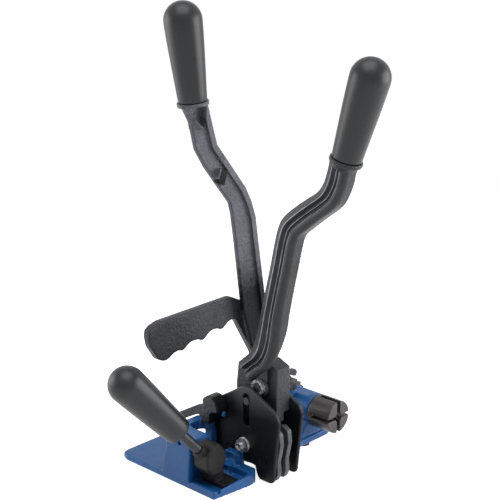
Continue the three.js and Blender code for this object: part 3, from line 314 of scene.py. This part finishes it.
# Head block, guard handle and strap guide
# Malleable iron castings, tumbled and dipped in thin dark grey paint. The block sits between the
# plates, the handle is bolted to the rear cheek and the guide stands on the fork.
# Gives the eye a dark bluish grey with the fine pitting of moulding sand and pale worn edges.
cast_iron = surface("thin grey paint on sand-cast iron", "#33363B", "#202226", "#7C7F86",
                    0.1, 0.4, 2.4, 1.2, drift=0.7, wear=0.8, wear_mm=0.7, shine=0.3)
for node, name, voxel_mm, passes in (("finger_handle", "guard_handle", 0.7, 4),
                                     ("head_block", "yoke", 0.55, 2),
                                     ("strap_guide", "guide", 0.6, 3)):
    finished(name, cast_skin(node, voxel_mm, passes), cast_iron, "frame", "dark_casting", node)

# Painted shade on the flank of the strap guide
# A thin black sheet on the right flank of the guide's nose is painted shade, and a rivet daubed with
# blue enamel sits on it.
# Gives the eye a black side that joins the near plate, with one blue spot.
painted_flank_shade = surface("black painted shade on cast iron", "#141516", "#0D0E0F", "#2C2E31", 0.0, 0.5, 1.6, 0.3,
               wear=0.4, shine=0.1)
flank_lean = 0.35  # the least that a face under the painted shade looks to the right
flank_foot = 42.0 * mm
shade_proud = 0.12 * mm
shade_depth = 0.5 * mm
bm = bmesh.new()
bm.from_mesh(bpy.data.objects["guide"].data)
unshaded_faces = [face for face in bm.faces
         if face.normal.x < flank_lean or face.calc_center_median().z < flank_foot]
bmesh.ops.delete(bm, geom=unshaded_faces, context="FACES")
bmesh.ops.translate(bm, verts=bm.verts, vec=(shade_proud, 0, 0))
bmesh.ops.solidify(bm, geom=bm.faces[:], thickness=shade_depth)
bmesh.ops.recalc_face_normals(bm, faces=bm.faces)
finished("guide_flank", mesh_from(bm, "guide_flank"), painted_flank_shade, "frame", "dark_casting")


def spun(profile, foot, direction, steps):
    """A closed turned mesh from [radius, height] points in millimetres."""
    bm = bmesh.new()
    verts = [bm.verts.new((r * mm, 0, h * mm)) for r, h in profile]
    edges = [bm.edges.new(pair) for pair in zip(verts, verts[1:])]
    bmesh.ops.spin(bm, geom=verts + edges, cent=(0, 0, 0), axis=(0, 0, 1), dvec=(0, 0, 0),
                   angle=math.tau, steps=steps, use_merge=True, use_normal_flip=False,
                   use_duplicate=False)
    bmesh.ops.remove_doubles(bm, verts=bm.verts, dist=0.002 * mm)
    bmesh.ops.recalc_face_normals(bm, faces=bm.faces)
    turn = Vector((0, 0, 1)).rotation_difference(Vector(direction)).to_matrix().to_4x4()
    bmesh.ops.transform(bm, matrix=Matrix.Translation(Vector(foot) * mm) @ turn, verts=bm.verts)
    return mesh_from(bm, "turned")


rivet_profile = [(0, -1.5), (1.4, -1.5), (1.4, 0), (2.5, 0), (2.4, 0.5), (1.9, 0.95), (1.0, 1.2),
                 (0, 1.25)]
rivet_foot = (24.9, -42.6, 54.2)
finished("daubed_rivet", spun(rivet_profile, rivet_foot, (1, 0, 0), 32), blue_enamel,
         "frame", "blue_paint")

# Gripper cam
# A small casting left rough from the mould, browner than the rest where strap and hands rub it.
# Gives the eye a matt brownish grey with coarse pits.
rough_cast = surface("rubbed raw sand casting", "#1F1D1D", "#131212", "#5C5856", 0.15, 0.46, 1.6, 0.6,
                     drift_mm=6.0, drift=0.8, wear=0.8, shine=0.25)
finished("gripper_cam", cast_skin("gripper_casting", 0.45, 3), rough_cast, "gripper",
         "dark_casting", "gripper_casting")


# Tension lever
# A long flat casting with a rib along its right side and a forged-looking neck under the grip. It
# turns on the windlass shaft behind the barrel.
def block(bm, centre, size, tilt):
    """Adds a block in millimetres, tipped round x by a tilt in degrees, to a form."""
    verts = bmesh.ops.create_cube(bm, size=1.0)["verts"]
    place = Matrix.Translation([c * mm for c in centre])
    scale = Matrix.Diagonal([c * mm for c in size] + [1])
    bmesh.ops.transform(bm, matrix=place @ Matrix.Rotation(math.radians(tilt), 4, "X") @ scale,
                        verts=verts)


# Gives the eye a lighter bluish grey than the head, with coarse sand pitting on its flat side. Low
# down the colour is painted near black with a dulled shine, a painted shade.
lever_cast_shaded_low = surface("thin grey paint on coarse sand casting", "#585B63", "#3D4047", "#8A8E96",
                     0.1, 0.42, 3.2, 2.0, drift_mm=20.0, drift=0.6, wear=0.8, wear_mm=0.8,
                     shine=0.35, painted_shade_below=("#101113", 150, 186, 40))
lever_tilt = -22.3
bm = cad_form("tension_lever")
block(bm, (3.4, -27.0, 265.4), (7.2, 2.0, 9.4), lever_tilt)
arm = skinned(bm, 0.6, 2)

# Under the grip the web is dished, and a lip is folded over the dish from the front edge. Above
# the stop the skin of the casting is torn.
web_middle = 1.5
dish_right, dish_foot, dish_top = -41, 306, 326.5
dish_floor = -1.6
lip_width = 6
lip_rise = 3.4
break_radius = 7
break_rise = 2.4
bm = bmesh.new()
bm.from_mesh(arm)
worked = []
for vertex in bm.verts:
    depth, across, up = (value / mm for value in vertex.co)
    above_fold = (across + 66) * 0.597 + (up - 325) * 0.802
    from_break = math.hypot(across + 23.5, up - 277.5)
    if depth > web_middle and from_break < break_radius:
        torn = break_rise * noise.noise(vertex.co / (2.4 * mm))
        vertex.co.x += torn * (1 - from_break / break_radius) * mm
    if (depth < web_middle or across > dish_right or not dish_foot < up < dish_top
            or above_fold < -lip_width):
        continue
    worked.append(vertex)
    if above_fold > 0:
        vertex.co.x = (dish_floor + (depth - web_middle) * 0.1) * mm
    else:
        vertex.co.x += lip_rise * (1 + above_fold / lip_width) * mm
for _ in range(2):
    bmesh.ops.smooth_vert(bm, verts=worked, factor=0.5,
                          use_axis_x=True, use_axis_y=True, use_axis_z=True)
bm.to_mesh(arm)
bm.free()
finished("tension_arm", arm, lever_cast_shaded_low, "tension_lever", "dark_casting", "tension_lever")

# A hardened stop is let into the web. It is painted near black, a painted shade for the shaded side
# of the stop and the recess beside it.
# Gives the eye a small dark block with a pale upper edge.
stop_shade_black = surface("tool steel painted black as shade", "#0E1011", "#0A0B0B", "#5E6266", 0.0, 0.5, 1.0, 0.03,
                         drift=0.5, wear=0.9, wear_mm=0.6, shine=0.1)
bm = bmesh.new()
block(bm, (4.0, -22.9, 262.2), (5.2, 9.5, 13.0), lever_tilt)
bmesh.ops.bevel(bm, geom=bm.edges[:], offset=0.9 * mm, segments=3, profile=0.5, affect="EDGES")
finished("lever_stop", mesh_from(bm, "stop"), stop_shade_black, "tension_lever", "dark_steel")

# Jaws
# Forged steel jaws in two layers, left in the scale of the forge. They turn on pins in the plates.
# Gives the eye mid-grey wavy bands between the black plates.
forge_scale = surface("forged steel under thin scale", "#4E5055", "#303237", "#9A9DA3",
                      0.2, 0.42, 2.0, 0.4, drift_mm=8.0, drift=0.6, wear=0.8, wear_mm=0.7, shine=0.4)
for side in ("left", "right"):
    for layer in ("front", "rear"):
        node = f"jaw_{side}_{layer}"
        finished(f"{side}_{layer}_jaw", cast_skin(node, 0.5, 3), forge_scale, side + "_jaws",
                 "dark_casting", node)

# Sealing lever
# One casting with a hand end, a crooked shank and two prongs at its foot. The front has a broad
# bevel on the left, a sunk channel with a fine ridge, and a round rail on the right.
seal_edges = [  # left x, left z, right x, right z, front y, back y, depth of the channel
    (127.9, 299.0, 150.3, 291.7, -30.4, -16.5, 0.2), (127.1, 291.5, 146.3, 285.2, -30.4, -16.5, 0.5),
    (124.5, 282.0, 144.2, 276.5, -30.4, -16.5, 0.9), (121.4, 274.3, 141.2, 268.6, -30.4, -16.5, 1.0),
    (115.5, 267.0, 137.0, 260.3, -30.4, -16.5, 1.0), (106.5, 260.9, 130.5, 253.4, -30.4, -16.5, 1.0),
    (95.5, 253.3, 117.5, 243.6, -30.4, -16.5, 1.0), (84.6, 244.9, 104.3, 233.2, -30.4, -16.5, 1.0),
    (77.7, 237.4, 96.8, 226.8, -30.4, -16.5, 1.0), (74.0, 229.0, 93.8, 220.6, -30.4, -16.5, 1.0),
    (70.6, 216.8, 91.6, 212.0, -30.4, -16.5, 1.0), (66.0, 196.0, 87.6, 194.0, -30.4, -16.5, 1.0),
    (60.4, 173.0, 83.2, 175.0, -30.4, -16.5, 1.0), (55.2, 150.8, 79.0, 155.0, -30.5, -16.5, 1.0),
    (52.4, 139.0, 77.2, 140.0, -30.6, -17.5, 1.0), (50.0, 128.5, 75.6, 127.5, -30.7, -21.0, 1.0),
    (46.6, 119.4, 72.0, 115.0, -30.7, -24.3, 1.1), (41.0, 111.6, 65.3, 103.2, -30.7, -24.3, 1.3),
    (34.8, 106.0, 55.8, 96.2, -30.7, -24.3, 1.5), (28.9, 100.7, 45.6, 86.0, -30.7, -24.3, 1.5)]
seal_section = [  # share across the front, depth behind the front in mm, share of the channel depth
    (0.00, 5.0, 0), (0.02, 2.0, 0), (0.22, 0.9, 0), (0.25, 0.0, 0), (0.30, 0.0, 0), (0.32, 0.8, 0.1),
    (0.36, 0.4, 1.6), (0.39, 0.4, 2.6), (0.44, 0.4, 2.6), (0.47, 0.4, 1.3), (0.51, 0.4, 1.3),
    (0.54, 0.4, 2.6), (0.60, 0.4, 2.6), (0.64, 0.3, 1.0), (0.68, 0.2, 0.2), (0.76, 0.0, 0),
    (0.85, 0.2, 0), (0.93, 0.9, 0), (0.98, 2.4, 0), (1.00, 4.2, 0)]
seal_steps = 8
least_wall = 0.4
hub_radius = 8.0
hub_bore = 4.3
seal_hinge = (54.0, 84.0)


def between(before, start, end, after, t):
    """A point on a smooth curve from start to end."""
    return tuple(0.5 * (2 * q + (r - p) * t + (2 * p - 5 * q + 4 * r - s) * t * t
                        + (3 * q - p - 3 * r + s) * t ** 3)
                 for p, q, r, s in zip(before, start, end, after))


seal_axis = (math.sin(math.radians(17.8)), 0, math.cos(math.radians(17.8)))
seal_foot = (141.0, -23.0, 296.8)
collar_profile = [(0, -9), (8.5, -9), (11.2, -5.2), (13.2, -3.9), (13.6, -2.6), (13.5, -0.9),
                  (12.9, -0.3), (5, -0.3), (5, 44), (0, 44)]
stations = [seal_edges[0]] + seal_edges + [seal_edges[-1]]


def swept(bm, section, has_back):
    """Lays a section along the front of the lever, and closes it on the back face if it has one."""
    rings = []
    for index in range(1, len(stations) - 2):
        last = index == len(stations) - 3
        for step in range(seal_steps + (1 if last else 0)):
            lx, lz, rx, rz, front, back, channel = between(*stations[index - 1:index + 3],
                                                           step / seal_steps)
            ring = []
            for share, depth, sunk in section:
                ring.append((lx + share * (rx - lx),
                             min(front + depth + sunk * channel, back - least_wall),
                             lz + share * (rz - lz)))
            if has_back:
                ring += [(rx, back, rz), (lx, back, lz)]
            rings.append([bm.verts.new([c * mm for c in point]) for point in ring])
    for upper, lower in zip(rings, rings[1:]):
        for i in range(len(upper)):
            j = (i + 1) % len(upper)
            bm.faces.new((upper[i], upper[j], lower[j], lower[i]))
    bm.faces.new(rings[0])
    bm.faces.new(rings[-1])
    bmesh.ops.recalc_face_normals(bm, faces=bm.faces)


bm = bmesh.new()
swept(bm, seal_section, True)
hub_profile = [(hub_bore, 0), (hub_radius, 0), (hub_radius + 1, 1.2), (hub_radius + 1, 3.7),
               (hub_bore, 3.7), (hub_bore, 0)]
bm.from_mesh(spun(hub_profile, (seal_hinge[0], -28.0, seal_hinge[1]), (0, 1, 0), 48))
bm.from_mesh(spun(collar_profile, seal_foot, seal_axis, 48))
block(bm, (57.5, -26.15, 96.5), (10, 3.6, 12), 0)
# Gives the eye dark bluish grey stripes between pale ridges, partly worn paint and partly painted
# highlight.
ridged_cast = surface("thin grey paint worn off cast ridges", "#2C2F34", "#1D1F23", "#A2A5AC",
                      0.1, 0.4, 2.4, 0.6, drift=0.7, wear=1.0, wear_mm=1.1, shine=0.35)
finished("sealing_arm", skinned(bm, 0.55, 1), ridged_cast, "sealing_lever", "dark_casting",
         "sealing_lever")

# The crests of the ridges, painted bright: rubbed bare iron, and partly a painted highlight where
# the ridges catch the light.
# Gives the eye a bright line beside the bevel and two duller ones in the channel.
iron_rubbed_and_highlight = surface("cast iron rubbed bare, partly painted highlight", "#A2A6AD", "#63666D", "#C2C5CA", 0.4, 0.38, 1.6, 0.2,
                      drift_mm=8.0, drift=0.9, wear=0.4)
crest_root = 1.2
crest_slope = 0.01
for crest, left, right, proud, sunk in (("bevel", 0.252, 0.298, -0.3, 0),
                                        ("channel", 0.472, 0.508, 0.0, 1.3),
                                        ("rail", 0.655, 0.685, -0.1, 0.4)):
    bm = bmesh.new()
    swept(bm, [(left, proud + crest_root, sunk), (left + crest_slope, proud, sunk),
               (right - crest_slope, proud, sunk), (right, proud + crest_root, sunk)], False)
    finished(crest + "_crest", mesh_from(bm, crest + "_crest"), iron_rubbed_and_highlight, "sealing_lever",
             "dark_casting")

# Sealing pin and its nut
# A turned pin through the head block, and a torn bare steel nut that stands out bright and rough.
# Gives the eye a ragged bright lump with dark pits in the lever's hub.
bare_steel = surface("bare hammered steel", "#8E9195", "#4A4C50", "#C4C7CA", 0.75, 0.4, 1.3, 0.35,
                     drift_mm=3.0, drift=0.9, wear=0.6)
nut_core = 5.0 * mm
nut_face = -30.5 * mm
pit_size = 2.2 * mm
pit_depth = 0.8
nut = skinned(cad_form("sealing_nut"), 0.35, 1)
for vertex in nut.vertices:
    from_axis = Vector((vertex.co.x - seal_hinge[0] * mm, 0, vertex.co.z - seal_hinge[1] * mm))
    if from_axis.length > nut_core or vertex.co.y < nut_face:
        pitting = max(0.0, 0.5 + noise.noise(vertex.co / pit_size))
        vertex.co -= vertex.normal * mm * pit_depth * pitting
finished("seal_nut", nut, bare_steel, "sealing_lever", "dark_steel", "sealing_nut")

# Grips
# Three equal mouldings in dark grey plastic, pressed on the tangs up to a small gap. The mould is
# spark-eroded, which softens the shine.
# Gives the eye a warm dark grey with a broad soft highlight down the side and on the ball.
moulded_plastic = surface("spark-eroded dark grey plastic", "#15171B", "#101215", "#34363A",
                          0.0, 0.36, 0.7, 0.03, drift_mm=30.0, drift=0.5, wear=0.3, shine=0.42)
grip_length = 83.0
grip_radius = 16.0
grip_foot_radius = 12.3
grip_foot_edge = 0.9
grip_bore = 5.3
grip_bore_end = 56
grip_ball = grip_length - grip_radius
swell_steps = 12
ball_steps = 14
grip_profile = [(0, grip_bore_end), (grip_bore, grip_bore_end), (grip_bore, 0.4), (5.6, 0.0),
                (11.6, 0.0), (12.1, 0.25), (grip_foot_radius, grip_foot_edge)]
for step in range(1, swell_steps + 1):
    share = step / swell_steps
    swell = math.sin(share * math.pi / 2) ** 0.92 * (0.55 + 0.45 * share)
    grip_profile.append((grip_foot_radius + (grip_radius - grip_foot_radius) * swell,
                         grip_foot_edge + (grip_ball - grip_foot_edge) * share))
for step in range(1, ball_steps):
    angle = step / ball_steps * math.pi / 2
    grip_profile.append((grip_radius * math.cos(angle), grip_ball + grip_radius * math.sin(angle)))
grip_profile.append((0, grip_length))
for node, body, foot, direction in (
        ("tension_grip", "tension_lever", (-0.5, -51.0, 330.1), (0, -0.14436, 0.98953)),
        ("sealing_grip", "sealing_lever", seal_foot, seal_axis),
        ("gripper_grip", "gripper", (30.2, -102.6, 59.3), (-0.2337, -0.6195, 0.7494))):
    finished(node + "_moulding", spun(grip_profile, foot, direction, 72), moulded_plastic, body,
             "grip_plastic", node)

# Windlass and ratchet wheel
# Turned from steel bar, with two crossed strap slots milled into the free end, then blackened in
# hot oil. They turn on the shaft in the barrel.
# Gives the eye a dark warm grey that is brighter along the edges where the strap rubs.
oiled_steel = surface("oil-blackened milled steel", "#4E4B4B", "#353232", "#9A9794",
                      0.5, 0.36, 1.2, 0.03, drift=0.6, wear=0.9, wear_mm=0.6)
finished("slotted_drum", cast_skin("windlass", 0.42, 1), oiled_steel, "windlass", "dark_steel",
         "windlass")
dressed(oiled_steel, "ratchet_wheel", "lever_spacer")

# Pawls, pins, studs and bolts
# Stamped or turned steel, blackened. Springs press the pawls on the ratchet wheel.
# Gives the eye a dark grey with a dull shine on the round faces.
pin_steel = surface("oil-blackened turned steel", "#34343A", "#232327", "#6A6A6E", 0.5, 0.4, 1.0, 0.03,
                    drift=0.6, wear=0.7, wear_mm=0.5)
dressed(pin_steel, "holding_pawl", "drive_pawl", "drive_pawl_pin", "holding_pawl_pin", "gripper_rod",
        "gripper_pin", "plate_bolt_1", "plate_bolt_2", "handle_bolt_1", "handle_bolt_2", "sealing_pin")

# Centre stud
# A steel stud, turned and threaded, through both plates. Its free end is cupped and stands out of
# the nut that holds it.
stud_length = 40.0
stud_radius = 4.0
thread_pitch = 1.7
thread_start = stud_length - 5.6
thread_root = stud_radius - 0.7
cup_floor = stud_length - 1.8
stud_foot = (44.5, -5.0, 29.5)
stud_profile = [(0, 0), (stud_radius, 0), (stud_radius, thread_start)]
for turn_index in range(3):
    height = thread_start + turn_index * thread_pitch
    stud_profile += [(stud_radius, height + 0.5), (thread_root, height + 0.9),
                     (thread_root, height + 1.2), (stud_radius, height + 1.6)]
stud_profile += [(stud_radius - 0.5, stud_length), (2.6, stud_length), (2.1, cup_floor), (0, cup_floor)]
# Gives the eye a bright rim round a dark cup, with a few thread lines behind it.
worn_steel = surface("steel thread worn bright", "#8E9094", "#4C4D50", "#DADCE0", 0.8, 0.32, 0.9, 0.0,
                     wear=0.9, wear_mm=0.4)
finished("threaded_stud", spun(stud_profile, stud_foot, (0, -1, 0), 40), worn_steel, "frame",
         "dark_steel", "centre_stud")

# Washer, nuts and plunger pin
# Turned and pressed steel with a zinc plate, which dulls to grey where hands never rub it.
# Gives the eye bright rings round the dark stud.
zinc_plate = surface("bright zinc plate", "#D2D4D8", "#B4B7BC", "#EDEFF2", 1.0, 0.3, 0.9, 0.0,
                     drift=0.3, wear=0.3)
# Gives the eye a greyed pin in the plate's slot.
dull_zinc = surface("dulled zinc plate", "#4A4D52", "#34363A", "#777A7F", 0.7, 0.45, 0.9, 0.02,
                    drift=0.6)
dressed(zinc_plate, "stud_washer", "stud_nut", "shaft_nut")
dressed(dull_zinc, "plunger_pin", "holding_pawl_nut")
